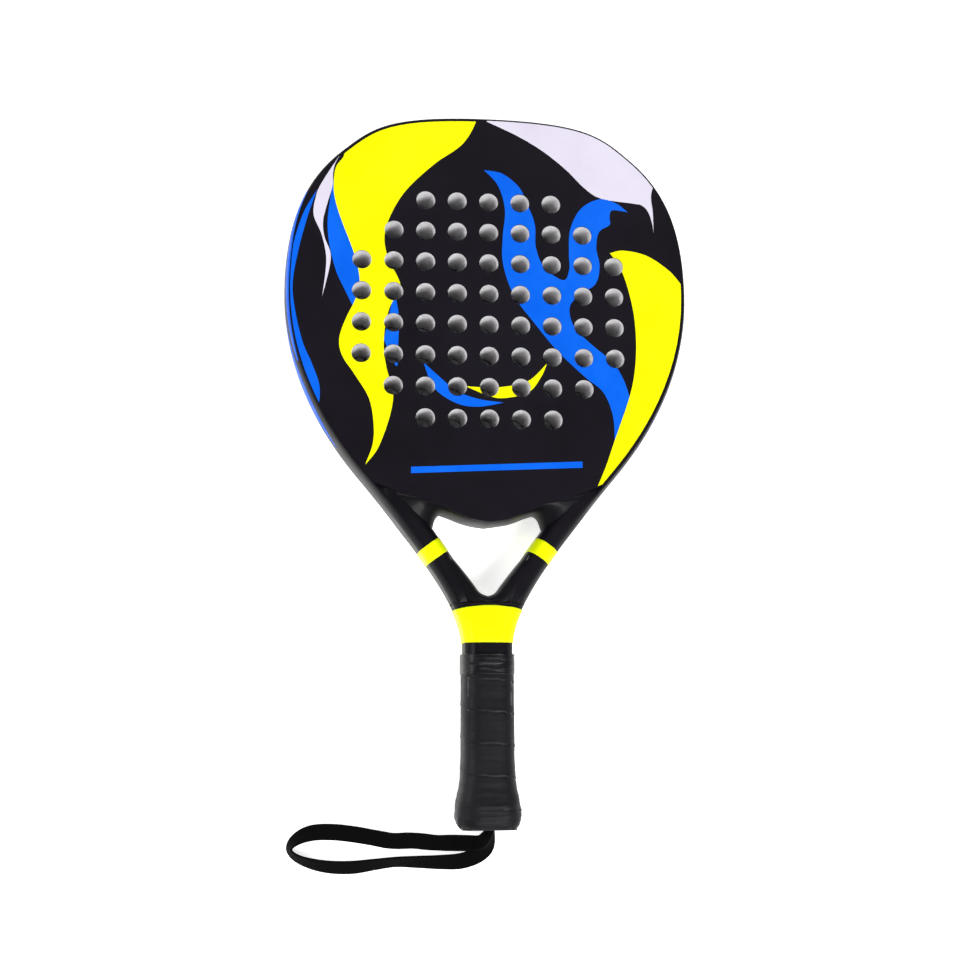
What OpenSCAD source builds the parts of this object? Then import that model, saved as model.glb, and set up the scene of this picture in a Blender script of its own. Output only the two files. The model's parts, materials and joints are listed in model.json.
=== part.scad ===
// Padel racket: a hollow laminate frame around a perforated foam core, two laminate faces with
// printed films, a wound handle and a webbing wrist strap. Millimetres. The racket lies on its
// rear face: +Y runs from the butt to the head, +Z out of the front face.

/* [Head] */
// Overall length, butt to head
racket_l = 455; // [440:1:460]
// Thickness of the head over both printed films
head_t = 38; // [32:1:38]
// Width of the frame tube across the rim
tube_w = 15.4; // [13:0.1:17]
// How far the rim's outer side bulges beyond the face
bulge = 3.5; // [1:0.5:5]
// Wall of the frame tube
tube_wall = 2; // [1:0.25:3]

/* [Faces] */
// Thickness of each face laminate
skin_t = 1; // [0.6:0.1:1.5]
// Thickness of a printed film
film_t = 0.2; // [0.1:0.05:0.4]

/* [Holes] */
// Diameter of the face holes
hole_d = 12.2; // [9:0.1:13]
// Distance between neighbouring holes
hole_pitch = 20.3; // [18:0.1:20.5]
// Height of the hole pattern's middle above the racket's middle
holes_y = 97.5; // [90:0.5:105]

/* [Throat and handle] */
// Half width of the bare neck
neck_a = 15; // [14:0.5:17]
// Depth of the neck, front to rear
neck_t = 30; // [28:1:34]
// Half width of the bare handle, over its shells
handle_a = 14.2; // [13.5:0.1:15]
// Half depth of the bare handle, over its shells
handle_b = 14; // [13.5:0.1:15]
// Wall of the handle shells
shell_t = 1.2; // [1:0.1:1.5]
// Thickness of the wound grip
grip_t = 2.4; // [1.5:0.1:3]

/* [Butt and strap] */
// Half width of the butt cap's end plate
cap_a = 17.2; // [16:0.1:18]
// Half depth of the butt cap's end plate
cap_b = 14.9; // [14:0.1:15.5]
// Hole for the strap in the butt cap
strap_hole_d = 12; // [10:0.5:14]
// Half thickness of the strap's webbing
strap_b = 1.2; // [0.8:0.1:1.6]

/* [Hidden] */

carbon = [0.12, 0.11, 0.13];
yellow = [1, 1, 0.1];
blue = [0.08, 0.44, 0.98];
white = [0.95, 0.94, 0.99];

mid_z = head_t / 2;
end_y = racket_l / 2;
lip_t = film_t + skin_t;
body_t = head_t - 2 * lip_t;
hole_rows = [5, 7, 9, 9, 9, 9, 7, 5];
eps = 0.01;

// Stations along the rim
seg_n = 14;
neck_y = -115;
shoulder_y = -119;
grip_y = -121;
tube_end_y = -216;
shell_end_y = -220;
inner_handle_a = handle_a - shell_t;
inner_handle_b = handle_b - shell_t;
core_bar_a = 4;

function bezier(p, t) =
    pow(1 - t, 3) * p[0] + 3 * pow(1 - t, 2) * t * p[1] + 3 * (1 - t) * t * t * p[2] + pow(t, 3) * p[3];
function curve(p, n, from = 0) = [for (i = [from:n]) bezier(p, i / n)];
function flip(p) = [-p.x, p.y];
function flipped(path) = [for (i = [len(path) - 1:-1:0]) flip(path[i])];
function unit(v) = v / norm(v);
function mix(a, b, t) = a + (b - a) * min(1, max(0, t));

// Catmull-Rom curve through a list of points, open at its ends
function spline_at(p, i, t) =
    let (a = p[max(0, i - 1)], b = p[i], c = p[i + 1], d = p[min(len(p) - 1, i + 2)])
    0.5 * (2 * b + (c - a) * t + (2 * a - 5 * b + 4 * c - d) * t * t + (3 * b - a - 3 * c + d) * t * t * t);
function spline(p, n) = [
    for (i = [0:len(p) - 2]) for (k = [0:n - 1]) spline_at(p, i, k / n),
    p[len(p) - 1]
];

// Right half of the outline, from the top of the head down to the neck
half_rim = concat(
    curve([[0, end_y], [66, end_y], [76, end_y - 9.5], [94, end_y - 24.5]], seg_n),
    curve([[94, end_y - 24.5], [117, end_y - 43.5], [130, 158], [130, 110]], seg_n, 1),
    curve([[130, 110], [130, 55], [101, 13.5], [82.5, -8.5]], seg_n, 1),
    curve([[82.5, -8.5], [47.5, -50], [neck_a, -91], [neck_a, neck_y]], seg_n, 1)
);
rim_n = len(half_rim);

function rim_normal(i) =
    let (d = half_rim[min(rim_n - 1, i + 1)] - half_rim[max(0, i - 1)])
    i == 0 ? [0, 1] : i == rim_n - 1 ? [1, 0] : unit([-d.y, d.x]);
function rim_in(i, d) = half_rim[i] - rim_normal(i) * d;
function tube_width(y) = mix(tube_w, neck_a - core_bar_a - 1, (y + 80) / (neck_y + 80));
function tube_height(y) = mix(body_t, neck_t, (y + 20) / -66);

// Frame stations: outer point, inner point, height and bulge
half_stations = concat(
    [for (i = [0:rim_n - 1])
        let (y = half_rim[i].y)
        [half_rim[i], rim_in(i, tube_width(y)), tube_height(y), bulge]],
    [
        [[neck_a, shoulder_y], [core_bar_a + 1, shoulder_y], neck_t, bulge],
        [[inner_handle_a, grip_y], [core_bar_a, grip_y], 2 * inner_handle_b, 0.5],
        [[inner_handle_a, tube_end_y], [core_bar_a, tube_end_y], 2 * inner_handle_b, 0.5]
    ]
);
st_n = len(half_stations);
function mirrored(s) = [flip(s[0]), flip(s[1]), s[2], s[3]];
stations = concat(
    [for (i = [st_n - 1:-1:1]) mirrored(half_stations[i])],
    half_stations
);

// Section of the tube at one station, shrunk by d on every side
function section(s, d) =
    let (o = s[0], w = norm(s[1] - s[0]), dir = (s[1] - s[0]) / w, h = s[2] / 2 - d, c = 1.5)
    [for (q = concat(
        [for (k = [-3:3]) [s[3] * k * k / 9 + d, h * k / 3]],
        [[w - c - d, h], [w - d, h - c], [w - d, c - h], [w - c - d, -h]]))
        [o.x + dir.x * q.x, o.y + dir.y * q.x, mid_z + q.y]];

// Closed skin through equal rings of points
module skin(rings) {
    n = len(rings);
    m = len(rings[0]);
    points = [for (r = rings) for (p = r) p];
    faces = concat(
        [[for (j = [0:m - 1]) j]],
        [for (i = [0:n - 2]) for (j = [0:m - 1]) each [
            [i * m + j, (i + 1) * m + j, (i + 1) * m + (j + 1) % m],
            [i * m + j, (i + 1) * m + (j + 1) % m, i * m + (j + 1) % m]
        ]],
        [[for (j = [m - 1:-1:0]) (n - 1) * m + j]]
    );
    polyhedron(points, faces);
}

module slab(z, t) {
    translate([0, 0, z]) linear_extrude(t) children();
}

// Bar along Y with rounded corners, centred on the handle's axis
module bar(y0, y1, a, b, r) {
    translate([0, y0, mid_z]) rotate([-90, 0, 0]) linear_extrude(y1 - y0) {
        square([2 * a, 2 * (b - r)], center = true);
        square([2 * (a - r), 2 * b], center = true);
        for (sx = [-1, 1]) for (sy = [-1, 1])
            translate([sx * (a - r), sy * (b - r)]) circle(r, $fn = 32);
    }
}

// Where the core ends, where the bridge ends and where the neck's filler starts
function last_in(y) = max([for (i = [0:rim_n - 1]) if (half_stations[i][1].y > y) i]);
core_end = last_in(-18);
bridge_end = last_in(-39);
web_start = last_in(-74);
inner_pts = [for (s = half_stations) s[1]];
function part_of(list, from, to) = [for (i = [from:to]) list[i]];

module core_outline() {
    half = part_of(inner_pts, 0, core_end);
    polygon(concat(half, flipped(part_of(half, 1, core_end))));
}

// Bridge's lower edge, from the opening's upper corner to the middle
throat_top = [[33, -37], [30.5, -33], [27, -33.5], [14, -38], [0, -40]];

module bridge_outline() {
    edge = spline(throat_top, 4);
    half = concat(part_of(inner_pts, core_end, bridge_end), edge);
    polygon(concat(half, flipped(part_of(half, 0, len(half) - 2))));
}

// The face's outline: the rim inset, closed by the rounded lip above the throat
lip_end = max([for (i = [0:rim_n - 1]) if (half_rim[i].y > -22) i]);
lip = [[50, -23], [38, -26.5], [25, -31.5], [12, -37], [0, -39]];
module face_outline(margin = bulge) {
    half = concat([for (i = [0:lip_end]) rim_in(i, margin)], spline(lip, 4));
    polygon(concat(half, flipped(part_of(half, 1, len(half) - 2))));
}

module hole_pattern(z0, z1, d = hole_d) {
    for (r = [0:len(hole_rows) - 1])
        for (c = [0:hole_rows[r] - 1])
            translate([(c - (hole_rows[r] - 1) / 2) * hole_pitch, holes_y + (3.5 - r) * hole_pitch, z0])
                cylinder(z1 - z0, d = d, $fn = 48);
}

module frame_tube() {
    color(carbon) difference() {
        skin([for (s = stations) section(s, 0)]);
        skin([for (s = bore_stations) section(s, tube_wall)]);
    }
}

// The bore runs out through both ends of the tube
function shifted(s, y) = [s[0] + [0, y], s[1] + [0, y], s[2], s[3]];
bore_stations = concat(
    [shifted(stations[0], -1)],
    part_of(stations, 1, len(stations) - 2),
    [shifted(stations[len(stations) - 1], -1)]
);

// Pressure bladder, left inside the tube after moulding
module frame_bladder() {
    gap = tube_wall;
    film = 0.5;
    head = part_of(stations, 4, len(stations) - 5);
    color("gainsboro") difference() {
        skin([for (s = head) section(s, gap)]);
        skin([for (s = part_of(head, 1, len(head) - 2)) section(s, gap + film)]);
    }
}

bridge_wall = 2;
module bridge_shell() {
    color(carbon) difference() {
        slab(lip_t, body_t) bridge_outline();
        slab(lip_t + bridge_wall, body_t - 2 * bridge_wall) bridge_filling();
    }
}

module bridge_filling() {
    polygon([[-46, -20], [46, -20], [34, -30], [22, -32], [0, -36], [-22, -32], [-34, -30]]);
}

module bridge_foam() {
    color("gray") slab(lip_t + bridge_wall, body_t - 2 * bridge_wall) bridge_filling();
}

module core_foam() {
    color("silver") difference() {
        slab(lip_t, body_t) core_outline();
        hole_pattern(0, head_t);
    }
}

module face(z) {
    difference() {
        slab(z, skin_t) face_outline();
        hole_pattern(z - 1, z + skin_t + 1);
    }
}

module face_front() {
    color(carbon) face(head_t - lip_t);
}

module face_rear() {
    color(carbon) face(film_t);
}

// Artwork, front view. Each shape is bounded by a smooth edge on either side.
yellow_left_inner = [
    [-8, 232], [-8, 223], [-17, 207], [-35, 193], [-53, 175], [-63, 158], [-67, 143], [-64.5, 129],
    [-58, 116], [-57, 109], [-63, 98], [-66, 86], [-67, 71], [-65, 57], [-61, 43], [-62, 31],
    [-66, 17], [-71, 5], [-78, -4]
];
yellow_left_outer = [
    [-78, -4], [-73.5, 9], [-73, 22], [-76, 38], [-85, 53], [-93, 65], [-95, 76], [-91, 89],
    [-85, 102], [-82.5, 114], [-86, 131], [-95, 155], [-99, 169], [-99.5, 180], [-98, 189],
    [-93, 197], [-96, 206]
];
yellow_right_left = [
    [66, -27], [66, -22], [74, -3], [80, 14], [90, 42], [94, 61], [95, 81], [93, 102], [87, 124], [79, 137]
];
yellow_right_top = [[79, 137], [88, 139], [103, 136], [117, 127], [125, 118], [132, 108]];
yellow_crescent = [
    [[-15, 47], [0, 41], [10, 40], [25, 44], [33, 54], [37, 63]],
    [[37, 63], [26, 52], [14, 48], [0, 46.5], [-15, 47]]
];
white_left = [
    [[-90, 206], [-107, 178], [-111, 167], [-112, 156], [-107, 144], [-104, 131], [-104, 120], [-106, 103]],
    [[-106, 103], [-102, 120], [-101, 131], [-105, 142], [-106, 152], [-104, 162], [-100, 176]]
];
white_right_lower = [
    [108, 152], [107, 159], [104.5, 166], [100.5, 170], [95, 171], [74, 173.5], [63, 180], [51, 192],
    [36, 204], [19, 214], [-1, 223]
];
white_right_upper = [[112, 192], [107, 178], [107.8, 165], [108, 152]];
blue_left = [
    [-99, 184], [-103, 156], [-102, 138], [-97.5, 120], [-92, 108], [-86, 96]
];
blue_left_tail = [
    [-60, 110], [-59, 101], [-57.5, 90], [-58, 72], [-59, 59], [-67, 76]
];
blue_side = [
    [[-110, 173], [-119, 156], [-126, 130], [-129, 105], [-125, 82], [-119, 62], [-107, 34]],
    [[-107, 34], [-107, 46], [-112, 60], [-118, 74], [-123, 95], [-124.5, 112], [-121, 134], [-115.5, 156],
     [-110, 173]]
];
blue_right = [
    [[-3, 190], [9, 188], [20, 179], [26, 166], [30, 154], [30.5, 139], [36, 126], [48, 118], [52, 125],
     [52, 136], [53, 152], [60, 166], [72, 173], [83, 171], [91, 165]],
    [[91, 165], [81, 166], [79, 161], [79, 156], [72, 151], [70, 140], [72, 128], [69, 116], [59, 109],
     [52, 100], [55, 87], [66, 76], [80, 64], [87, 52], [90, 42]],
    [[90, 42], [80, 14]],
    [[80, 14], [79, 30], [73, 45], [61, 55], [44, 71], [30, 88], [16, 107], [9, 128], [9, 146],
     [10.5, 164], [6, 180], [-3, 190]]
];
blue_crescent = [
    [[-42, 62], [-35, 45.5], [-21, 36], [-7, 34], [9, 37]],
    [[9, 37], [-7, 39], [-21, 44], [-32, 53], [-42, 62]]
];
bar_y = [-7, -2];

module shape(edges) {
    polygon([for (e = edges) each spline(e, 6)]);
}

module yellow_art() {
    shape([yellow_left_inner, yellow_left_outer, [[-96, 206], [-60, 240], [-8, 240]]]);
    shape([yellow_right_left, yellow_right_top, [[132, 108], [140, 60], [110, -10], [66, -27]]]);
    shape(yellow_crescent);
}

module blue_art() {
    difference() {
        union() {
            shape([blue_left, [[-86, 96], [-80, 120], [-90, 184], [-99, 184]]]);
            shape([blue_left_tail]);
            shape(blue_side);
            shape(blue_right);
            shape(blue_crescent);
            polygon([[-49.5, bar_y[0] - 2], [-49.5, bar_y[0] + 2], [59, bar_y[1] + 2], [59, bar_y[1] - 2]]);
        }
        yellow_art();
    }
}

module white_art() {
    difference() {
        union() {
            shape([white_left[0], white_left[1], [[-100, 176], [-99, 190], [-90, 206]]]);
            shape([white_right_lower, [[-1, 223], [-1, 235]], [[-1, 235], [112, 235]], [[112, 235], [112, 192]],
                white_right_upper]);
        }
        yellow_art();
        blue_art();
    }
}

// One film's print, kept a margin inside the face's edge
module film(z, margin = 0.4) {
    difference() {
        slab(z, film_t) intersection() {
            face_outline(bulge + margin);
            children();
        }
        hole_pattern(z - 1, z + film_t + 1);
    }
}

yellow_margin = 1.2;
module film_front_yellow() { color(yellow) film(head_t - film_t, yellow_margin) yellow_art(); }
module film_front_blue() { color(blue) film(head_t - film_t) blue_art(); }
module film_front_white() { color(white) film(head_t - film_t) white_art(); }
module film_rear_yellow() { color(yellow) film(0, yellow_margin) mirror([1, 0]) yellow_art(); }
module film_rear_blue() { color(blue) film(0) mirror([1, 0]) blue_art(); }
module film_rear_white() { color(white) film(0) mirror([1, 0]) white_art(); }

// Film laid on the rim's bulging side; f lists the heights it spans, as shares of half the tube's height
side_f = [-0.45, -0.2, 0.1, 0.45];
shoulder_f = [0.55, 0.7, 0.85, 0.98];
function side_ring(s, t, f) =
    let (dir = unit(s[1] - s[0]), h = s[2] / 2)
    [for (q = concat(
        [for (k = f) [s[3] * k * k - t, h * k]],
        [for (k = [3:-1:0]) [s[3] * f[k] * f[k], h * f[k]]]))
        [s[0].x + dir.x * q.x, s[0].y + dir.y * q.x, mid_z + q.y]];

module side_stripes() {
    first = seg_n * 2 - 1;
    last = seg_n * 3 - 3;
    color(blue) for (m = [0, 1]) mirror([m, 0, 0])
        skin([for (i = [first:last]) side_ring(half_stations[i], band_t, side_f)]);
    // The blue flash runs over the rim's left shoulder
    color(blue) mirror([1, 0, 0])
        skin([for (i = [seg_n + 6:first + 4]) side_ring(half_stations[i], band_t, shoulder_f)]);
}

// Bands wound round each arm of the throat
band_t = 0.3;
band_l = 10.6;
band_at = [35, -54.5];
arm_tilt = -33;
module arm_bands() {
    from = last_in(band_at.y + 25);
    to = last_in(band_at.y - 20);
    color(yellow) for (m = [0, 1]) mirror([m, 0, 0]) intersection() {
        difference() {
            skin([for (i = [from:to]) section(half_stations[i], -band_t)]);
            skin([for (i = [from - 1:to + 1]) section(half_stations[i], -2 * eps)]);
        }
        translate([band_at.x, band_at.y, mid_z]) rotate(arm_tilt)
            cube([3 * tube_w, band_l, 2 * head_t], center = true);
    }
}

// Band round the neck, where the arms join
neck_band_y = [-90, -113];
module neck_plan(top, low, d) {
    half = [for (p = half_rim) if (p.y < top && p.y > low) p + [d, 0]];
    polygon(concat(half, flipped(half)));
}

module neck_band() {
    color(yellow) difference() {
        slab(mid_z - neck_t / 2 - band_t, neck_t + 2 * band_t)
            neck_plan(neck_band_y[0], neck_band_y[1], band_t);
        slab(mid_z - neck_t / 2, neck_t) neck_plan(neck_band_y[0] + 9, neck_y - eps, 0);
    }
}

// Filler between the arms at the neck, going on as a bar between the tube's two ends
module handle_core() {
    web_r = 9;
    web = concat(part_of(inner_pts, web_start, rim_n), [[0, shoulder_y]]);
    color("dimgray") union() {
        slab(mid_z - neck_t / 2, neck_t) difference() {
            polygon(concat(web, flipped(web)));
            translate([0, -84.5 + web_r]) circle(web_r, $fn = 48);
            translate([0, -60]) square([60, 2 * (76 - 60)], center = true);
        }
        slab(mid_z - inner_handle_b, 2 * inner_handle_b)
            polygon([[-core_bar_a, tube_end_y], [core_bar_a, tube_end_y], [core_bar_a, grip_y],
                [core_bar_a, shoulder_y], [-core_bar_a, shoulder_y], [-core_bar_a, grip_y]]);
    }
}

tack_x = 9;
tack_y = -212;
tack_d = 1.4;
module tack_holes() {
    for (x = [-tack_x, tack_x])
        translate([x, tack_y, 0]) cylinder(head_t, d = tack_d, $fn = 24);
}

shell_r = 3;
module handle_shell(side) {
    difference() {
        bar(shell_end_y, grip_y, handle_a, handle_b, shell_r);
        translate([-inner_handle_a, shell_end_y - 1, mid_z - inner_handle_b])
            cube([2 * inner_handle_a, grip_y - shell_end_y + 2, 2 * inner_handle_b]);
        translate([-50, shell_end_y - 1, side > 0 ? mid_z - 50 : mid_z])
            cube([100, grip_y - shell_end_y + 2, 50]);
        tack_holes();
    }
}

module handle_shell_front() { color("dimgray") handle_shell(1); }
module handle_shell_rear() { color("dimgray") handle_shell(-1); }

// Flared cap over the handle's end: three steps under the grip and the end plate
cap_top_y = -202;
step_r = 4;
cap_steps = [
    // from, to, half width, half depth
    [-221, -214, 17, 15.6],
    [-214, -208, 16.2, 15.2],
    [-208, cap_top_y, 15.4, 14.8]
];
cap_r = 6;
plate_y = -221;
module butt_cap() {
    color([0.1, 0.1, 0.11]) difference() {
        union() {
            bar(-end_y, plate_y, cap_a, cap_b, cap_r);
            for (s = cap_steps) bar(s[0], s[1], s[2], s[3], step_r);
        }
        bar(shell_end_y, cap_top_y + 1, handle_a, handle_b, shell_r);
        translate([0, -end_y - 1, mid_z]) rotate([-90, 0, 0]) cylinder(10, d = strap_hole_d, $fn = 48);
        tack_holes();
    }
}

// Tacks that hold the cap to the handle's shells
module cap_tacks() {
    reach = handle_b + 1.2;
    color("silver") for (x = [-tack_x, tack_x]) for (s = [0, 1])
        translate([x, tack_y, mid_z + (s == 0 ? reach - 2.4 : -reach)])
            cylinder(2.4, d = tack_d, $fn = 24);
}

// Rounded square ring round the handle's axis, a superellipse
ring_n = 32;
ring_power = 0.6;
function ring_y(y, a, b) = [for (k = [0:ring_n - 1])
    let (t = k * 360 / ring_n, c = cos(t), s = sin(t))
    [a * sign(c) * pow(abs(c), ring_power), y, mid_z + b * sign(s) * pow(abs(s), ring_power)]];
// Outer profile of the wound grip: y, half width, half depth
grip_profile = [
    [-226.5, 18.7, 16.3], [-225, 20, 17.2], [-219, 21.2, 18.2], [-213, 20.2, 18], [-205, 18.2, 17.4],
    [-197, 17.1, 16.9], [-185, handle_a + grip_t + 0.2, handle_b + grip_t + 0.2],
    [grip_y - 1, handle_a + grip_t + 0.1, handle_b + grip_t + 0.1]
];

module base_grip() {
    color([0.11, 0.1, 0.12]) difference() {
        skin([for (g = grip_profile) ring_y(g[0], g[1], g[2])]);
        bar(-end_y - 1, plate_y, cap_a, cap_b, cap_r);
        for (s = cap_steps) bar(s[0] - eps, s[1], s[2], s[3], step_r);
        bar(cap_top_y - 1, grip_y + 1, handle_a, handle_b, shell_r);
    }
}

// Finishing tape that closes the grip's upper end
tape_l = 12;
tape_t = 0.6;
tape_gap = 0.16;
module tape_outline(grow) {
    reach = grip_t + tape_gap + grow;
    polygon([for (p = ring_y(0, handle_a + reach, handle_b + reach)) [p.x, p.z - mid_z]]);
}

module grip_tape() {
    color([0.09, 0.09, 0.1]) translate([0, grip_y - tape_l, mid_z]) rotate([-90, 0, 0])
        linear_extrude(tape_l) difference() {
            tape_outline(tape_t);
            tape_outline(0);
        }
}

// Stitched end of the webbing, held behind the cap's hole
anchor_stop_d = 16;
anchor_stop_t = 3.5;
module strap_anchor() {
    plug_l = shell_end_y + end_y;
    color([0.06, 0.06, 0.07]) translate([0, -end_y, mid_z]) rotate([-90, 0, 0]) {
        cylinder(plug_l, d = strap_hole_d, $fn = 48);
        translate([0, 0, plug_l]) cylinder(anchor_stop_t, d = anchor_stop_d, $fn = 48);
    }
}

// Strap's route: x, y, z, half width, half depth
strap_route = [
    [-1.5, -229.2, 18.5, 0.9, 2.6], [-2, -234, 15, 0.9, 3.5], [-4, -236, 11, 1.6, 2.6], [-11, -236.5, 6, 3.5, strap_b],
    [-20, -236.5, 2.6, 4.6, strap_b], [-31, -236.5, 1.2, 5, strap_b], [-45, -236, 1.2, 5, strap_b],
    [-58, -235, 1.2, 5, strap_b], [-70, -233, 1.2, 5, strap_b], [-83, -231, 1.2, 5, strap_b],
    [-96, -229.5, 1.2, 5, strap_b], [-108, -230, 1.2, 4, strap_b], [-117, -233.5, 1.6, 2.6, 1.6],
    [-121.5, -239, 2, 2, 2], [-118, -244, 2, 2, 2], [-109, -248, 1.8, 2.6, 1.8],
    [-97, -250.5, 1.5, 3.4, 1.5], [-83, -251, 1.2, 3.6, strap_b], [-69, -249.5, 1.2, 3.2, strap_b],
    [-56, -248, 1.2, 3, strap_b], [-42, -248, 1.2, 3.4, strap_b], [-28, -248.5, 1.2, 4, strap_b],
    [-16, -248.5, 1.8, 4, strap_b], [-7, -246, 4, 3.4, 1.4], [-1, -241.5, 8, 2.4, 2.2], [2, -235.5, 14, 0.9, 3.2],
    [1.7, -229.4, 18.2, 0.9, 2.6]
];
function at(list, i) = list[min(len(list) - 1, max(0, i))];
function point3(v) = [v[0], v[1], v[2]];
module wrist_strap() {
    path = spline(strap_route, 3);
    color([0.04, 0.04, 0.05]) skin([for (i = [0:len(path) - 1])
        let (
            p = path[i],
            dir = unit(point3(at(path, i + 1)) - point3(at(path, i - 1))),
            side = unit(cross([0, 0, 1], dir)),
            up = cross(dir, side)
        )
        [for (k = [0:7])
            let (q = point3(p) + side * p[3] * cos(k * 45) + up * p[4] * sin(k * 45))
            [q.x, q.y, max(0, q.z)]]
    ]);
}

frame_tube();
frame_bladder();
bridge_shell();
bridge_foam();
core_foam();
face_front();
face_rear();
film_front_yellow();
film_front_blue();
film_front_white();
film_rear_yellow();
film_rear_blue();
film_rear_white();
side_stripes();
arm_bands();
neck_band();
handle_core();
handle_shell_front();
handle_shell_rear();
butt_cap();
cap_tacks();
base_grip();
grip_tape();
strap_anchor();
wrist_strap();
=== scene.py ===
"""Padel racket lying on its rear face, in metres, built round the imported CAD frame.

+Y runs from the butt to the head and +Z out of the front face. Lengths in the constants are
millimetres, as in the CAD model, and MM turns them into metres.
"""

import json
import math

import bpy
import numpy as np
from mathutils import Matrix, Vector, noise


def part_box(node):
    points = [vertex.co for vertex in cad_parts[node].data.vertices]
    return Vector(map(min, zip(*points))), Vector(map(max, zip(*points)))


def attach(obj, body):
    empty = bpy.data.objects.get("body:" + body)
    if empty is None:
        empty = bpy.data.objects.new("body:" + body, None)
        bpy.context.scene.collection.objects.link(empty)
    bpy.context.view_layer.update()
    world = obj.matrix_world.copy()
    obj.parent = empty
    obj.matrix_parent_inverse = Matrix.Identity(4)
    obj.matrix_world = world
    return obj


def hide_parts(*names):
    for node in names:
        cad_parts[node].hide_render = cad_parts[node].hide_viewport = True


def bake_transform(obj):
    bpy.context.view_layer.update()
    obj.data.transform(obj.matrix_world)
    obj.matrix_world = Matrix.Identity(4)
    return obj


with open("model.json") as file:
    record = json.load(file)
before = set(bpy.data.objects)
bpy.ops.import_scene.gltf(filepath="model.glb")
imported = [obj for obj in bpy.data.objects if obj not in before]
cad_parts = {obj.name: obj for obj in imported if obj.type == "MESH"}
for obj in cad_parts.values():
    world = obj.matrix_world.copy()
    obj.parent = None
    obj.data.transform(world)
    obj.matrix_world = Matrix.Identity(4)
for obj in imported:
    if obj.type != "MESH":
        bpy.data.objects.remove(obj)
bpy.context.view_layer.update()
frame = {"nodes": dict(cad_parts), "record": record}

MM = 0.001
MID_Z = (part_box("face_front")[1][2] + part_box("face_rear")[0][2]) / 2 / MM
END_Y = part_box("frame_tube")[1][1] / MM
FACE_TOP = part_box("face_front")[1][2] / MM
RACKET, STRAP = "racket", "strap"


# ---------------------------------------------------------------- camera
def add_camera():
    """The racket seen from a little left of and below its middle, looking down on it."""
    tilt, lean, roll = math.radians(8.78), math.radians(-6.51), math.radians(0.81)
    turn = Matrix.Rotation(tilt, 4, "X") @ Matrix.Rotation(lean, 4, "Y") @ Matrix.Rotation(roll, 4, "Z")
    data = bpy.data.cameras.new("camera")
    data.sensor_width = 36
    data.lens = 56.25
    camera = bpy.data.objects.new("camera", data)
    camera.matrix_world = Matrix.Translation((-0.1127, -0.1551, 0.9597)) @ turn
    bpy.context.collection.objects.link(camera)
    bpy.context.scene.camera = camera


add_camera()


# ---------------------------------------------------------------- curves
def bezier(p, t):
    p = np.array(p, float)
    return (1 - t) ** 3 * p[0] + 3 * (1 - t) ** 2 * t * p[1] + 3 * (1 - t) * t * t * p[2] + t**3 * p[3]


def spline(points, n):
    """Catmull-Rom curve through points, with n steps for each span."""
    p = np.array(points, float)
    last = len(p) - 1
    out = []
    for i in range(last):
        a, b, c, d = p[max(0, i - 1)], p[i], p[i + 1], p[min(last, i + 2)]
        for k in range(n):
            t = k / n
            square, cube = 2 * a - 5 * b + 4 * c - d, 3 * b - a - 3 * c + d
            out.append(0.5 * (2 * b + (c - a) * t + square * t * t + cube * t**3))
    out.append(p[last])
    return np.array(out)


def smooth_step(low, high, x):
    t = min(1.0, max(0.0, (x - low) / (high - low)))
    return t * t * (3 - 2 * t)


# ---------------------------------------------------------------- meshes
def add_mesh(name, points, faces, material, smooth=True):
    """A mesh object from points in millimetres."""
    mesh = bpy.data.meshes.new(name)
    mesh.from_pydata([tuple(float(c) * MM for c in p) for p in points], [], faces)
    mesh.validate()
    mesh.update()
    if smooth:
        mesh.shade_smooth()
    mesh.materials.append(material)
    obj = bpy.data.objects.new(name, mesh)
    bpy.context.collection.objects.link(obj)
    return obj


def loft(rings, capped=True):
    """Points and faces of a skin through rings with equal numbers of points."""
    n, m = len(rings), len(rings[0])
    points = [p for ring in rings for p in ring]
    faces = [
        (i * m + j, i * m + (j + 1) % m, (i + 1) * m + (j + 1) % m, (i + 1) * m + j)
        for i in range(n - 1)
        for j in range(m)
    ]
    if capped:
        faces.append(tuple(range(m - 1, -1, -1)))
        faces.append(tuple((n - 1) * m + j for j in range(m)))
    return points, faces


def place(obj, body, slot, *nodes):
    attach(obj, body)
    if nodes:
        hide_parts(*nodes)
    return obj


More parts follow.
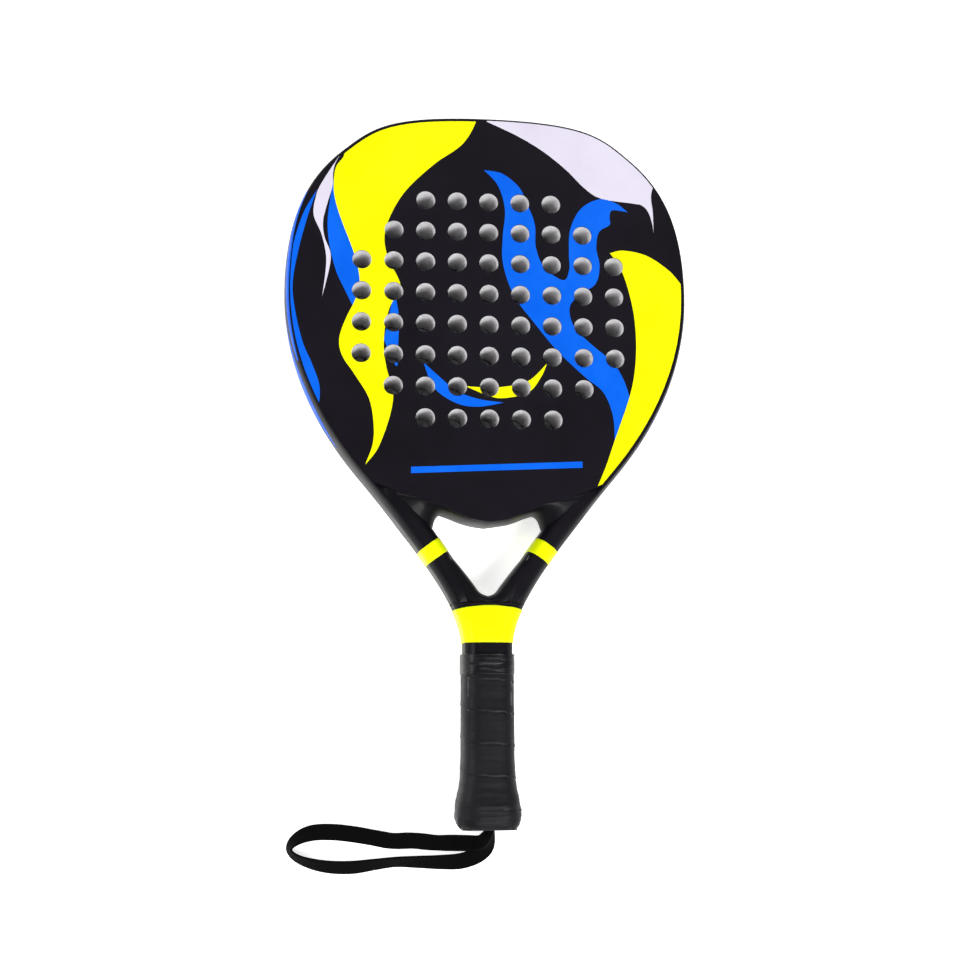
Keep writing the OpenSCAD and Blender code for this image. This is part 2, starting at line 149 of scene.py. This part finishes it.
# ---------------------------------------------------------------- materials
class Shader:
    """A Principled material with short calls for the nodes that drive it."""

    def __init__(self, name, **sockets):
        self.material = bpy.data.materials.new(name)
        self.material.use_nodes = True
        self.tree = self.material.node_tree
        self.main = self.tree.nodes["Principled BSDF"]
        for key, value in sockets.items():
            self.main.inputs[key.replace("_", " ")].default_value = value
        self.place = self.add("ShaderNodeTexCoord").outputs["Object"]
        self.height = None

    def add(self, kind, **values):
        node = self.tree.nodes.new(kind)
        for key, value in values.items():
            if key in node.inputs:
                node.inputs[key].default_value = value
            else:
                setattr(node, key, value)
        return node

    def link(self, source, target):
        self.tree.links.new(source, target)

    def stretched(self, scale):
        node = self.add("ShaderNodeMapping")
        node.inputs["Scale"].default_value = scale
        self.link(self.place, node.inputs["Vector"])
        return node.outputs["Vector"]

    def noise(self, scale, detail=3.0, rough=0.5, vector=None):
        node = self.add("ShaderNodeTexNoise", Scale=scale, Detail=detail, Roughness=rough)
        self.link(vector or self.place, node.inputs["Vector"])
        return node.outputs["Fac"]

    def cells(self, scale):
        node = self.add("ShaderNodeTexVoronoi", Scale=scale)
        self.link(self.place, node.inputs["Vector"])
        return node.outputs["Distance"]

    def ramp(self, source, low, high, to_low, to_high):
        node = self.add("ShaderNodeMapRange")
        for key, value in zip(("From Min", "From Max", "To Min", "To Max"), (low, high, to_low, to_high)):
            node.inputs[key].default_value = value
        self.link(source, node.inputs["Value"])
        return node.outputs["Result"]

    def math(self, operation, a, b):
        node = self.add("ShaderNodeMath", operation=operation)
        for socket, value in zip(node.inputs, (a, b)):
            if isinstance(value, (int, float)):
                socket.default_value = value
            else:
                self.link(value, socket)
        return node.outputs[0]

    def colours(self, source, stops):
        node = self.add("ShaderNodeValToRGB")
        ramp = node.color_ramp
        while len(ramp.elements) < len(stops):
            ramp.elements.new(0.5)
        for element, (at, colour) in zip(ramp.elements, stops):
            element.position = at
            element.color = (*colour, 1)
        self.link(source, node.inputs["Fac"])
        self.link(node.outputs["Color"], self.main.inputs["Base Color"])

    def rough(self, source):
        self.link(source, self.main.inputs["Roughness"])

    def bump(self, source, depth, strength=1.0):
        """depth is in metres. A second bump stacks on the first."""
        node = self.add("ShaderNodeBump", Strength=strength, Distance=depth)
        self.link(source, node.inputs["Height"])
        if self.height:
            self.link(self.height, node.inputs["Normal"])
        self.height = node.outputs["Normal"]
        self.link(self.height, self.main.inputs["Normal"])


def gel_coat(name, dark, light, low, high, coat):
    """Black laminate under gel: faint cloudiness, fine orange peel and a soft coat."""
    s = Shader(name, Coat_Weight=coat, Coat_Roughness=0.12)
    s.main.inputs["Specular IOR Level"].default_value = 0.07
    s.colours(s.noise(14, 4, 0.6), [(0.35, dark), (0.7, light)])
    s.rough(s.ramp(s.noise(45, 5, 0.6), 0.3, 0.7, low, high))
    s.bump(s.noise(900, 2), 0.00002, 0.35)
    s.bump(s.noise(60, 2), 0.00008, 0.25)
    return s.material


def printed(name, deep, clean, pale, roughness):
    """Printed film: a faint halftone grain, small scuffs in the gloss and an orange-peel lacquer."""
    s = Shader(name)
    s.main.inputs["Specular IOR Level"].default_value = 0.07
    grain = s.math("ADD", s.noise(30, 6, 0.65), s.math("MULTIPLY", s.cells(1600), 0.05))
    s.colours(grain, [(0.32, deep), (0.5, clean), (0.72, pale)])
    s.rough(s.ramp(s.noise(70, 6, 0.7), 0.3, 0.75, roughness - 0.08, roughness + 0.1))
    s.bump(s.noise(1000, 2), 0.00002, 0.3)
    return s.material


def foam(name, deep, pale, cell):
    """Closed-cell foam as it shows on a cut wall: small open cells, a mottled tone and painted shade in the
    cells' pits.
    """
    s = Shader(name, Roughness=0.9)
    s.main.inputs["Specular IOR Level"].default_value = 0.2
    # The cell term darkens the middles of the cells, where the bump sinks: painted shade in the pits; the
    # noise term is the foam's own tone.
    mottle_and_pit_shade = s.math("ADD", s.noise(120, 5, 0.7), s.math("MULTIPLY", s.cells(cell), 0.25))
    s.colours(mottle_and_pit_shade, [(0.3, deep), (0.75, pale)])
    s.bump(s.cells(cell), 0.00012, 0.6)
    s.bump(s.noise(cell * 2, 3), 0.00004, 0.5)
    return s.material


def grip_skin():
    """Tacky polyurethane: fine pores, faint rub marks and a soft sheen."""
    s = Shader("grip_pu")
    s.main.inputs["Specular IOR Level"].default_value = 0.16
    s.colours(s.noise(35, 5, 0.6), [(0.3, (0.004, 0.0034, 0.005)), (0.75, (0.009, 0.0078, 0.0108))])
    s.rough(s.ramp(s.noise(90, 5, 0.7), 0.3, 0.7, 0.42, 0.6))
    s.bump(s.cells(1400), 0.00008, 0.5)
    s.bump(s.noise(180, 4, 0.6), 0.00025, 0.5)
    return s.material


def vinyl_tape():
    """Stretched vinyl: creases that run round the handle, glossy between them."""
    s = Shader("tape_black", Coat_Weight=0.04, Coat_Roughness=0.2)
    s.main.inputs["Specular IOR Level"].default_value = 0.2
    s.colours(s.noise(60, 4), [(0.3, (0.0035, 0.003, 0.0042)), (0.8, (0.0085, 0.0075, 0.0098))])
    s.rough(s.ramp(s.noise(120, 5, 0.7), 0.3, 0.7, 0.28, 0.45))
    s.bump(s.noise(60, 5, 0.65, s.stretched((0.4, 5.0, 0.4))), 0.0006, 0.7)
    return s.material


def webbing():
    """Woven webbing: ribs across the strap and a finer twill along it, from the strap's own map, darker
    where the pattern sinks as painted shade.
    """
    s = Shader("webbing", Roughness=0.85)
    s.main.inputs["Specular IOR Level"].default_value = 0.06
    uv = s.add("ShaderNodeUVMap", uv_map="UVMap").outputs["UV"]
    ribs = s.add("ShaderNodeTexWave", Scale=260.0, Distortion=0.6, bands_direction="Y")
    twill = s.add("ShaderNodeTexWave", Scale=520.0, Distortion=0.4, bands_direction="DIAGONAL")
    for wave in (ribs, twill):
        s.link(uv, wave.inputs["Vector"])
    coarse = s.math("MULTIPLY", ribs.outputs["Fac"], 0.7)
    fine = s.math("MULTIPLY", twill.outputs["Fac"], 0.3)
    rib_height_and_shade = s.math("ADD", coarse, fine)
    # Colour darkens where the bump sinks between the ribs: painted shade in the grooves.
    s.colours(rib_height_and_shade, [(0.1, (0.0006, 0.0006, 0.0008)), (0.9, (0.0028, 0.0028, 0.0034))])
    s.bump(rib_height_and_shade, 0.0002, 0.8)
    s.bump(s.noise(700, 4, 0.7), 0.0001, 0.5)
    return s.material


def plastic(name, deep, pale, low, high):
    s = Shader(name)
    s.main.inputs["Specular IOR Level"].default_value = 0.25
    s.colours(s.noise(25, 4), [(0.3, deep), (0.75, pale)])
    s.rough(s.ramp(s.noise(80, 4), 0.3, 0.7, low, high))
    s.bump(s.noise(1200, 3), 0.00004, 0.5)
    return s.material


def steel():
    s = Shader("steel", Metallic=1.0)
    s.colours(s.noise(200, 3), [(0.3, (0.4, 0.4, 0.42)), (0.7, (0.62, 0.62, 0.64))])
    s.rough(s.ramp(s.noise(400, 3), 0.3, 0.7, 0.25, 0.45))
    return s.material


MATERIALS = {
    "carbon_laminate": gel_coat(
        "carbon_laminate", (0.0045, 0.004, 0.0055), (0.008, 0.007, 0.01), 0.34, 0.46, 0.03
    ),
    "face_laminate": gel_coat(
        "face_laminate", (0.0065, 0.0055, 0.0085), (0.0095, 0.0082, 0.0125), 0.42, 0.52, 0.0
    ),
    "film_yellow": printed("film_yellow", (0.9, 0.9, 0.0), (0.96, 0.96, 0.001), (1.0, 1.0, 0.004), 0.42),
    "film_blue": printed("film_blue", (0.001, 0.105, 0.7), (0.002, 0.12, 0.76), (0.006, 0.14, 0.84), 0.42),
    "film_white": printed("film_white", (0.66, 0.62, 0.74), (0.69, 0.65, 0.77), (0.72, 0.68, 0.8), 0.42),
    "band_yellow": printed("band_yellow", (0.76, 0.9, 0.0), (0.82, 0.96, 0.001), (0.88, 1.0, 0.003), 0.34),
    "eva_foam": foam("eva_foam", (0.72, 0.71, 0.72), (0.9, 0.89, 0.9), 1500),
    "filler_foam": foam("filler_foam", (0.08, 0.08, 0.085), (0.16, 0.16, 0.165), 900),
    "bladder_film": plastic("bladder_film", (0.6, 0.62, 0.6), (0.75, 0.77, 0.75), 0.3, 0.45),
    "shell_plastic": plastic("shell_plastic", (0.03, 0.03, 0.032), (0.045, 0.045, 0.048), 0.45, 0.6),
    "cap_plastic": plastic("cap_plastic", (0.008, 0.008, 0.009), (0.014, 0.014, 0.016), 0.35, 0.5),
    "steel": steel(),
    "grip_pu": grip_skin(),
    "tape_black": vinyl_tape(),
    "webbing": webbing(),
}


def dress_cad_nodes():
    """Every CAD node gets the finish of its slot."""
    for part in frame["record"]["subparts"]:
        obj = frame["nodes"][part["node"]]
        obj.data.materials.clear()
        obj.data.materials.append(MATERIALS[part["material_slot"]])


dress_cad_nodes()


# ---------------------------------------------------------------- strap
STRAP_WIDTH = 10.0
STRAP_THICK = 1.5
STRAP_STEPS = 8
# Least height of the webbing above the table
STRAP_CLEAR = 0.15
# Centreline x, y, z and the lean of the webbing's width out of the table, in degrees
STRAP_ROUTE = [
    (1.4, -225, 20, 78), (1.0, -229, 19, 70), (-1.8, -234, 15, 55), (-5, -236.5, 10.5, 38),
    (-11, -237, 6.4, 18),
    (-20, -237, 3.4, 6), (-31, -236.8, 2.8, -16), (-45, -235.4, 2.2, 16), (-58, -235.4, 2.2, -12),
    (-70, -233.2, 2.8, 20), (-83, -231, 1.4, 0), (-96, -229.6, 1.8, 8), (-108, -230, 2.8, 22),
    (-117, -233.5, 4.2, 48),
    (-121.5, -239, 5.2, 72), (-118, -244, 5, 64), (-109, -248, 4.2, 50), (-97, -250.5, 3.6, 38),
    (-83, -251, 3.4, 34), (-69, -249.4, 3.8, 44), (-56, -248, 4.2, 50), (-42, -248.2, 3.8, 40),
    (-28, -248.6, 3.0, 26), (-16, -248.2, 3.2, 12), (-7, -245.5, 5, 8), (-1, -241.3, 9, 22),
    (1.6, -236.2, 14, 50), (2.6, -229.5, 17.6, 70), (2.6, -225, 18, 78),
]


def strap_section():
    """Half width and half thickness factors round the webbing's rounded rectangle."""
    right = [(1.0, 0.35), (0.94, 0.85), (0.84, 1.0), (0.76, 1.0)]
    upper = right + [(-x, z) for x, z in reversed(right)]
    return upper + [(-x, -z) for x, z in upper]


def add_strap():
    """One length of flat webbing that leaves the cap, lies in a loop to the left and comes back."""
    route = np.array(STRAP_ROUTE, float)
    path = spline(route, STRAP_STEPS)
    xyz = path[:, :3]
    rings = []
    for i, p in enumerate(xyz):
        along = xyz[min(len(xyz) - 1, i + 1)] - xyz[max(0, i - 1)]
        along /= np.linalg.norm(along)
        side = np.cross((0, 0, 1), along)
        side /= np.linalg.norm(side)
        up = np.cross(along, side)
        lean = math.radians(path[i, 3])
        wide = side * math.cos(lean) + up * math.sin(lean)
        thin = np.cross(along, wide)
        a, b = STRAP_WIDTH / 2, STRAP_THICK / 2
        ring = [p + wide * a * x + thin * b * z for x, z in strap_section()]
        rings.append([(q[0], q[1], max(STRAP_CLEAR, q[2])) for q in ring])
    points, faces = loft(rings)
    strap = add_mesh("wrist_strap_webbing", points, faces, MATERIALS["webbing"])
    layer = strap.data.uv_layers.new(name="UVMap")
    m = len(rings[0])
    run = np.concatenate([[0], np.cumsum(np.linalg.norm(np.diff(xyz, axis=0), axis=1))]) * MM
    across = [x * STRAP_WIDTH / 2 * MM for x, _ in strap_section()]
    for loop in strap.data.loops:
        ring, place_in = divmod(loop.vertex_index, m)
        layer.data[loop.index].uv = (across[place_in], run[ring])
    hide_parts("wrist_strap")
    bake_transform(strap)


add_strap()


# ---------------------------------------------------------------- frame
BULGE = 3.6
TUBE_W = 15.4
# Half height of the frame's side round the head
RIM_H = 18.78
# Step from the frame's top down to the face
FACE_STEP = 1.05
# Half width and half depth of the neck
NECK_A, NECK_B = 15.0, 15.0
# Stretch of y over which the head's round tube turns into the bevelled arm
ARM_FROM, ARM_TO = -14, -44
# The tube's skin ends inside the neck
TUBE_END_Y = -100
RIM_CURVES = [
    [(0, END_Y), (66, END_Y), (76, END_Y - 9.5), (94, END_Y - 24.5)],
    [(94, END_Y - 24.5), (117, END_Y - 43.5), (130, 158), (130, 110)],
    [(130, 110), (130, 55), (101, 13.5), (82.5, -8.5)],
    [(82.5, -8.5), (47.5, -50), (NECK_A, -91), (NECK_A, -115)],
]
RIM_STEPS = 28


def half_rim():
    """Points and outward normals from the top of the head down to the neck."""
    points = [bezier(RIM_CURVES[0], 0)]
    for curve in RIM_CURVES:
        points += [bezier(curve, k / RIM_STEPS) for k in range(1, RIM_STEPS + 1)]
    points = np.array(points)
    tangents = np.gradient(points, axis=0)
    tangents[0] = (1, 0)
    tangents[-1] = (0, -1)
    tangents /= np.linalg.norm(tangents, axis=1)[:, None]
    normals = np.stack([-tangents[:, 1], tangents[:, 0]], axis=1)
    return points, normals


RIM, RIM_NORMAL = half_rim()


def corner(low, high, power, steps=7):
    """Superellipse corner from low to high as (u, z) pairs; a power above 1 flattens it to a bevel."""
    out = []
    for k in range(steps + 1):
        phi = math.pi / 2 * k / steps
        out.append((
            low[0] + (high[0] - low[0]) * (1 - max(0.0, math.cos(phi)) ** power),
            low[1] + (high[1] - low[1]) * math.sin(phi) ** power,
        ))
    return out


def below(y, start, length):
    """0 above start, rising smoothly to 1 a length further down the racket."""
    return smooth_step(0, 1, (start - y) / length)


def tube_profile(y):
    """Section of the frame at height y: u from the outer side inwards, z from the middle plane."""
    arm = smooth_step(ARM_FROM, ARM_TO, y) if y < ARM_FROM else 0.0
    arm_drop, neck_drop, neck_w = 3.9, 2.2, 11.5
    height = RIM_H - arm_drop * below(y, -18, 70) - neck_drop * below(y, -88, 8)
    width = TUBE_W + (neck_w - TUBE_W) * below(y, -78, 35)
    side_land, bevel_u, bevel_z = 0.8, 4.6, 7.5
    outer_u = BULGE + (bevel_u - BULGE) * arm
    outer_z = (height - side_land) * (1 - arm) + bevel_z * arm
    edge, inner_grow_u, inner_grow_z = 1.0, 4.4, 8.0
    inner_u = edge + inner_grow_u * arm
    inner_z = edge + inner_grow_z * arm
    power = 1 + 0.35 * arm
    face_end_y = -24
    land = (1 - arm) * FACE_STEP if y > face_end_y else 0.0
    outer = corner((0, height - outer_z), (outer_u, height), power)
    inner = corner((width, height - inner_z), (width - inner_u, height), power)[::-1]
    shelf = [(outer_u + 0.15, height - land), (width - inner_u - 0.4, height - land)]
    top = outer + shelf + [(u, z - land) for u, z in inner]
    return top + [(u, -z) for u, z in reversed(top)]


def tube_ring(i, profile, side=1):
    p, n = RIM[i], RIM_NORMAL[i]
    return [(side * (p[0] - n[0] * u), p[1] - n[1] * u, MID_Z + z) for u, z in profile]


def add_frame():
    """The frame's outer skin, from the left arm round the head to the right arm."""
    last = max(i for i in range(len(RIM)) if RIM[i][1] > TUBE_END_Y)
    left = [tube_ring(i, tube_profile(RIM[i][1]), -1) for i in range(last, 0, -1)]
    right = [tube_ring(i, tube_profile(RIM[i][1])) for i in range(last + 1)]
    points, faces = loft(left + right)
    obj = add_mesh("frame_skin", points, faces, MATERIALS["carbon_laminate"])
    place(obj, RACKET, "carbon_laminate", "frame_tube")


add_frame()

THROAT_TOP = [(0, -40.2), (14, -38.2), (25, -34.2), (30, -33), (33, -36), (35, -42), (38, -48)]
LIP = [(0, -37.2), (12, -35.2), (25, -30.5), (35, -27), (44, -24.4), (52, -22.4), (60, -20)]


def add_bridge():
    """Wall that rolls off the face's lip and drops to the throat opening, front and rear alike."""
    low = spline(THROAT_TOP, 8)
    high = spline(LIP, 8)
    low = np.vstack([low[::-1] * (-1, 1), low[1:]])
    high = np.vstack([high[::-1] * (-1, 1), high[1:]])
    top_z = FACE_TOP - MID_Z
    seam_z, tuck, under = 0.6, 8, 1.1
    drop = top_z - seam_z
    steps = 10
    rings = []
    for a, b in zip(high, low):
        reach = np.linalg.norm(b - a)
        inward = (a - b) / reach
        upper = [
            (a + inward * tuck, top_z - under),
            (a + inward * 0.5, top_z - under),
            (a + inward * 0.02, top_z - 0.05),
        ]
        for k in range(steps + 1):
            phi = math.pi / 2 * k / steps
            upper.append((a + (b - a) * math.sin(phi), top_z - drop * (1 - math.cos(phi))))
        ring = upper + [(p, -z) for p, z in reversed(upper)]
        rings.append([(p[0], p[1], MID_Z + z) for p, z in ring])
    points, faces = loft(rings)
    obj = add_mesh("bridge_skin", points, faces, MATERIALS["carbon_laminate"])
    place(obj, RACKET, "carbon_laminate", "bridge_shell")


add_bridge()

# The neck's yellow band, the grip's upper end and the place where the arms have met
NECK_TOP, NECK_LOW, GRIP_Y = -93.2, -113.6, -121.0
CROTCH_Y = -89
BAND_LIFT = 0.45


def neck_profile(a, b):
    """Rounded octagon of half width a and half depth b, from the right side round to the top."""
    bevel_x, bevel_z, power = 7.5, 7, 1.2
    flat = a - bevel_x
    quarter = corner((a, b - bevel_z), (flat, b), power)
    land = [(x, b) for x in np.linspace(flat, -flat, 7)[1:-1]]
    upper = quarter + land + [(-x, z) for x, z in reversed(quarter)]
    return upper + [(-x, -z) for x, z in upper]


def rim_x(y):
    order = np.argsort(RIM[:, 1])
    ys, xs = RIM[order, 1], RIM[order, 0]
    lower = ys < 0
    return float(np.interp(y, ys[lower], xs[lower]))


def neck_rings(y_from, y_to, grow, hump=0.0, step=1.5):
    """Rings down the neck; hump lifts the middle of the first ones, so the upper edge curves."""
    rings = []
    count = max(2, int(abs(y_to - y_from) / step))
    for k in range(count + 1):
        share = k / count
        base = y_from + (y_to - y_from) * share
        half = rim_x(base)
        ring = []
        for x, z in neck_profile(half + grow, NECK_B + grow):
            y = base + hump * (1 - share) * (1 - min(1.0, abs(x) / half) ** 2)
            ring.append((x, y, MID_Z + z))
        rings.append(ring)
    return rings


def add_neck():
    """Smooth neck below the arms, and the band round it."""
    points, faces = loft(neck_rings(CROTCH_Y, GRIP_Y - 2, 0))
    neck = add_mesh("neck_skin", points, faces, MATERIALS["carbon_laminate"])
    place(neck, RACKET, "carbon_laminate")
    points, faces = loft(neck_rings(NECK_TOP, NECK_LOW, BAND_LIFT, hump=2.6))
    band = add_mesh("neck_band_film", points, faces, MATERIALS["band_yellow"])
    place(band, RACKET, "band_yellow", "neck_band")


add_neck()


# Inner edge of the throat's V, from high on the right arm down to the middle
WEB_EDGE = [(28.2, -54.5), (22.6, -60.2), (16.4, -67.6), (10, -75.8), (5.2, -82), (0, -84.3)]


def add_web():
    """Rounded floor of the throat's V, running up into both arms."""
    right = spline(WEB_EDGE, 7)
    path = np.vstack([right, right[-2::-1] * (-1, 1)])
    tangents = np.gradient(path, axis=0)
    tangents /= np.linalg.norm(tangents, axis=1)[:, None]
    into = np.stack([-tangents[:, 1], tangents[:, 0]], axis=1)
    upper = [(13, 12.6)] + corner((0, 5), (5.5, 14.2), 1)[::-1]
    section = upper + [(u, -z) for u, z in reversed(upper)]
    rings = [[(p[0] + n[0] * u, p[1] + n[1] * u, MID_Z + z) for u, z in section] for p, n in zip(path, into)]
    points, faces = loft(rings)
    web = add_mesh("throat_web", points, faces, MATERIALS["carbon_laminate"])
    place(web, RACKET, "carbon_laminate", "handle_core")


add_web()


# Stretch of each arm that its band covers, as shares of the arm's curve
BAND_SHARE = (0.4, 0.47)
ARM_BAND_LIFT = 0.3


def add_arm_bands():
    """A yellow band wound square to each arm."""
    share = np.linspace(*BAND_SHARE, 9)
    curve = RIM_CURVES[-1]
    for side, name in ((-1, "arm_band_left"), (1, "arm_band_right")):
        rings = []
        for t in share:
            p = bezier(curve, t)
            along = bezier(curve, t + 0.01) - bezier(curve, t - 0.01)
            along /= np.linalg.norm(along)
            normal = np.array([-along[1], along[0]])
            profile = tube_profile(p[1])
            ring = np.array([
                (side * (p[0] - normal[0] * u), p[1] - normal[1] * u, MID_Z + z) for u, z in profile
            ])
            out = ring - ring.mean(axis=0)
            rings.append(ring + out * (ARM_BAND_LIFT / np.linalg.norm(out, axis=1))[:, None])
        points, faces = loft(rings)
        band = add_mesh(name, points, faces, MATERIALS["band_yellow"])
        place(band, RACKET, "band_yellow", "arm_bands")


add_arm_bands()


def add_side_film(name, side, y_top, y_low, z_low, z_high, power):
    """Blue film on the rim's bulging side, tapered at both ends."""
    widest_x, out_by, in_by = 90, 0.12, 0.25
    rows = [i for i in range(len(RIM)) if y_low < RIM[i][1] < y_top and RIM[i][0] > widest_x]
    middle = (z_low + z_high) / 2
    rings = []
    for k, i in enumerate(rows):
        half = (z_high - z_low) / 2 * math.sin(math.pi * (0.02 + 0.96 * k / (len(rows) - 1))) ** power
        heights = [middle + half * f for f in np.linspace(-1, 1, 13)]
        skin = [(BULGE * (1 - math.sqrt(max(0.0, 1 - (z / RIM_H) ** 2))), z) for z in heights]
        ring = [(u - out_by, z) for u, z in skin] + [(u + in_by, z - 0.1) for u, z in reversed(skin)]
        rings.append(tube_ring(i, ring, side))
    points, faces = loft(rings)
    film = add_mesh(name, points, faces, MATERIALS["film_blue"])
    place(film, RACKET, "film_blue", "side_stripes")


add_side_film("side_stripe_left", -1, 98, 8, -2, 12, 1.1)
add_side_film("side_stripe_right", 1, 98, 8, -2, 12, 1.1)
add_side_film("shoulder_flash_left", -1, 176, 60, 13.8, 18.6, 0.35)

# ---------------------------------------------------------------- grip
GRIP_PROFILE = [
    # y, half width, half depth
    (-227.2, 15.6, 13.4), (-227.0, 17.0, 14.8), (-226.3, 18.2, 15.9), (-224.8, 19.2, 16.8),
    (-222, 20.1, 17.5),
    (-218.5, 20.5, 17.9), (-212, 19.8, 17.8), (-205, 18.3, 17.4), (-197, 17, 17), (-185, 16.5, 16.6),
    (-150, 16.3, 16.4), (-125, 16.3, 16.4), (-121.6, 16.1, 16.2), (-121, 15.8, 15.7),
]
GRIP_POWER = 0.62
WRAP_PITCH = 19.5
# Points round the handle in each ring of the grip and the tape
AROUND = 160


def grip_size(y):
    rows = np.array(GRIP_PROFILE)
    return np.interp(y, rows[:, 0], rows[:, 1]), np.interp(y, rows[:, 0], rows[:, 2])


def wrap_relief(y, angle):
    """Height of the wound strip's overlap. Each lap runs nearly level over the front of the handle."""
    turn = 1 - angle / (2 * math.pi) - 0.1 * math.cos(angle)
    first_lap_y, rise, groove = -219, 0.3, 0.26
    phase = ((y - first_lap_y) / WRAP_PITCH + turn) % 1.0
    return rise * math.exp(-phase / 0.12) - groove * math.exp(-(((1 - phase) / 0.03) ** 2))


def around_handle(y, angle, a, b, grow):
    """Point on the handle's rounded square section, pushed out by grow."""
    c, s = math.cos(angle), math.sin(angle)
    x = a * math.copysign(abs(c) ** GRIP_POWER, c)
    z = b * math.copysign(abs(s) ** GRIP_POWER, s)
    reach = 1 + grow / math.hypot(x, z)
    return (x * reach, y, MID_Z + z * reach)


def crumple(y, angle, scale, stretch):
    """Noise wound round the handle, stretched along its girth."""
    point = Vector((math.cos(angle) * 16 / stretch, math.sin(angle) * 16 / stretch, y)) * scale
    return noise.noise(point) + 0.5 * noise.noise(point * 2.3)


def add_grip():
    """The wound grip, with the step where each turn laps the last and creases near the butt."""
    ys = list(np.linspace(-227.2, -225, 8)) + list(np.arange(-224.6, -121.4, 0.6)) + [-121.0]
    rings = []
    for y in ys:
        a, b = grip_size(y)
        fade = smooth_step(-227.2, -223, y)
        butt = smooth_step(-196, -214, y) if y < -196 else 0.0
        ring = []
        for k in range(AROUND):
            angle = 2 * math.pi * k / AROUND
            grow = wrap_relief(y, angle) + (0.12 + 0.28 * butt) * crumple(y, angle, 0.2, 3)
            ring.append(around_handle(y, angle, a, b, grow * fade))
        rings.append(ring)
    points, faces = loft(rings, capped=False)
    grip = add_mesh("grip_wrap", points, faces, MATERIALS["grip_pu"])
    place(grip, RACKET, "grip_pu", "base_grip")


add_grip()


def add_tape():
    """Finishing tape over the grip's upper end, crumpled where it was pulled tight."""
    half_width, half_depth, lift = 16.2, 16.3, 0.62
    edge_rows = [(-120.6, 0.1, False), (-120.6, -0.9, False)]
    body_rows = [(y, lift, True) for y in np.linspace(-133.0, -120.8, 50)]
    rings = []
    for y, out_by, crumpled in [(-133.2, 0.15, False)] + body_rows + edge_rows:
        ring = []
        for k in range(AROUND):
            angle = 2 * math.pi * k / AROUND
            front = max(0.0, math.sin(angle)) ** 2
            crease = (0.1 + 0.25 * front) * crumple(y, angle, 0.42, 4)
            wave = 0.0 if crumpled else 0.5 * crumple(0, angle, 0.25, 2)
            grow = out_by + crease * crumpled
            ring.append(around_handle(y + wave, angle, half_width, half_depth, grow))
        rings.append(ring)
    points, faces = loft(rings, capped=False)
    tape = add_mesh("grip_finishing_tape", points, faces, MATERIALS["tape_black"])
    place(tape, RACKET, "tape_black", "grip_tape")


add_tape()


# ---------------------------------------------------------------- stage
def floor_material():
    """Bright paper with faint painted emission that washes out shadows, left off below the head so that
    painted shade lies there besides the lamps' own shadow.
    """
    s = Shader("floor_paper", Roughness=0.9)
    s.main.inputs["Specular IOR Level"].default_value = 0.1
    s.main.inputs["Base Color"].default_value = (0.9, 0.9, 0.9, 1)
    s.main.inputs["Emission Color"].default_value = (1, 1, 1, 1)
    head_centre = (0, 0.1, 0)
    from_head = s.add("ShaderNodeVectorMath", operation="DISTANCE")
    from_head.inputs[1].default_value = head_centre
    s.link(s.place, from_head.inputs[0])
    # Painted light: emission 0.75 away from the head, none within 0.1 m of its middle, which paints shade
    # below the head.
    painted_glow_and_head_shade = s.ramp(from_head.outputs["Value"], 0.1, 0.125, 0.0, 0.75)
    s.link(painted_glow_and_head_shade, s.main.inputs["Emission Strength"])
    return s.material


def add_world():
    """Surround that is dim overhead and brighter towards the horizon."""
    world = bpy.data.worlds.new("studio")
    world.use_nodes = True
    nodes, links = world.node_tree.nodes, world.node_tree.links
    place_in = nodes.new("ShaderNodeTexCoord")
    split = nodes.new("ShaderNodeSeparateXYZ")
    ramp = nodes.new("ShaderNodeMapRange")
    for key, value in zip(("From Min", "From Max", "To Min", "To Max"), (0.02, 0.6, 0.97, 0.05)):
        ramp.inputs[key].default_value = value
    links.new(place_in.outputs["Generated"], split.inputs[0])
    links.new(split.outputs["Z"], ramp.inputs["Value"])
    links.new(ramp.outputs["Result"], nodes["Background"].inputs["Strength"])
    nodes["Background"].inputs["Color"].default_value = (1, 1, 1, 1)
    bpy.context.scene.world = world


def add_lamp(name, at, size, watts):
    data = bpy.data.lights.new(name, "AREA")
    data.size = size
    data.energy = watts
    lamp = bpy.data.objects.new(name, data)
    aim = Vector((0, 0.03, 0)) - Vector(at)
    lamp.matrix_world = Matrix.Translation(at) @ aim.to_track_quat("-Z", "Y").to_matrix().to_4x4()
    bpy.context.collection.objects.link(lamp)


def add_stage():
    """A wide pale floor under soft lamps that stay out of the faces' mirror direction."""
    wide, low = 20000, -0.3
    corners = [(-wide, -wide, low), (wide, -wide, low), (wide, wide, low), (-wide, wide, low)]
    add_mesh("floor", corners, [(0, 1, 2, 3)], floor_material(), smooth=False)
    add_world()
    add_lamp("key", (0.55, -0.95, 1.55), 0.7, 30)
    add_lamp("left", (-1.35, 0.1, 1.1), 0.8, 14)
    add_lamp("back", (0.5, 1.5, 1.3), 0.9, 12)


add_stage()
bpy.context.scene.view_settings.view_transform = "Standard"
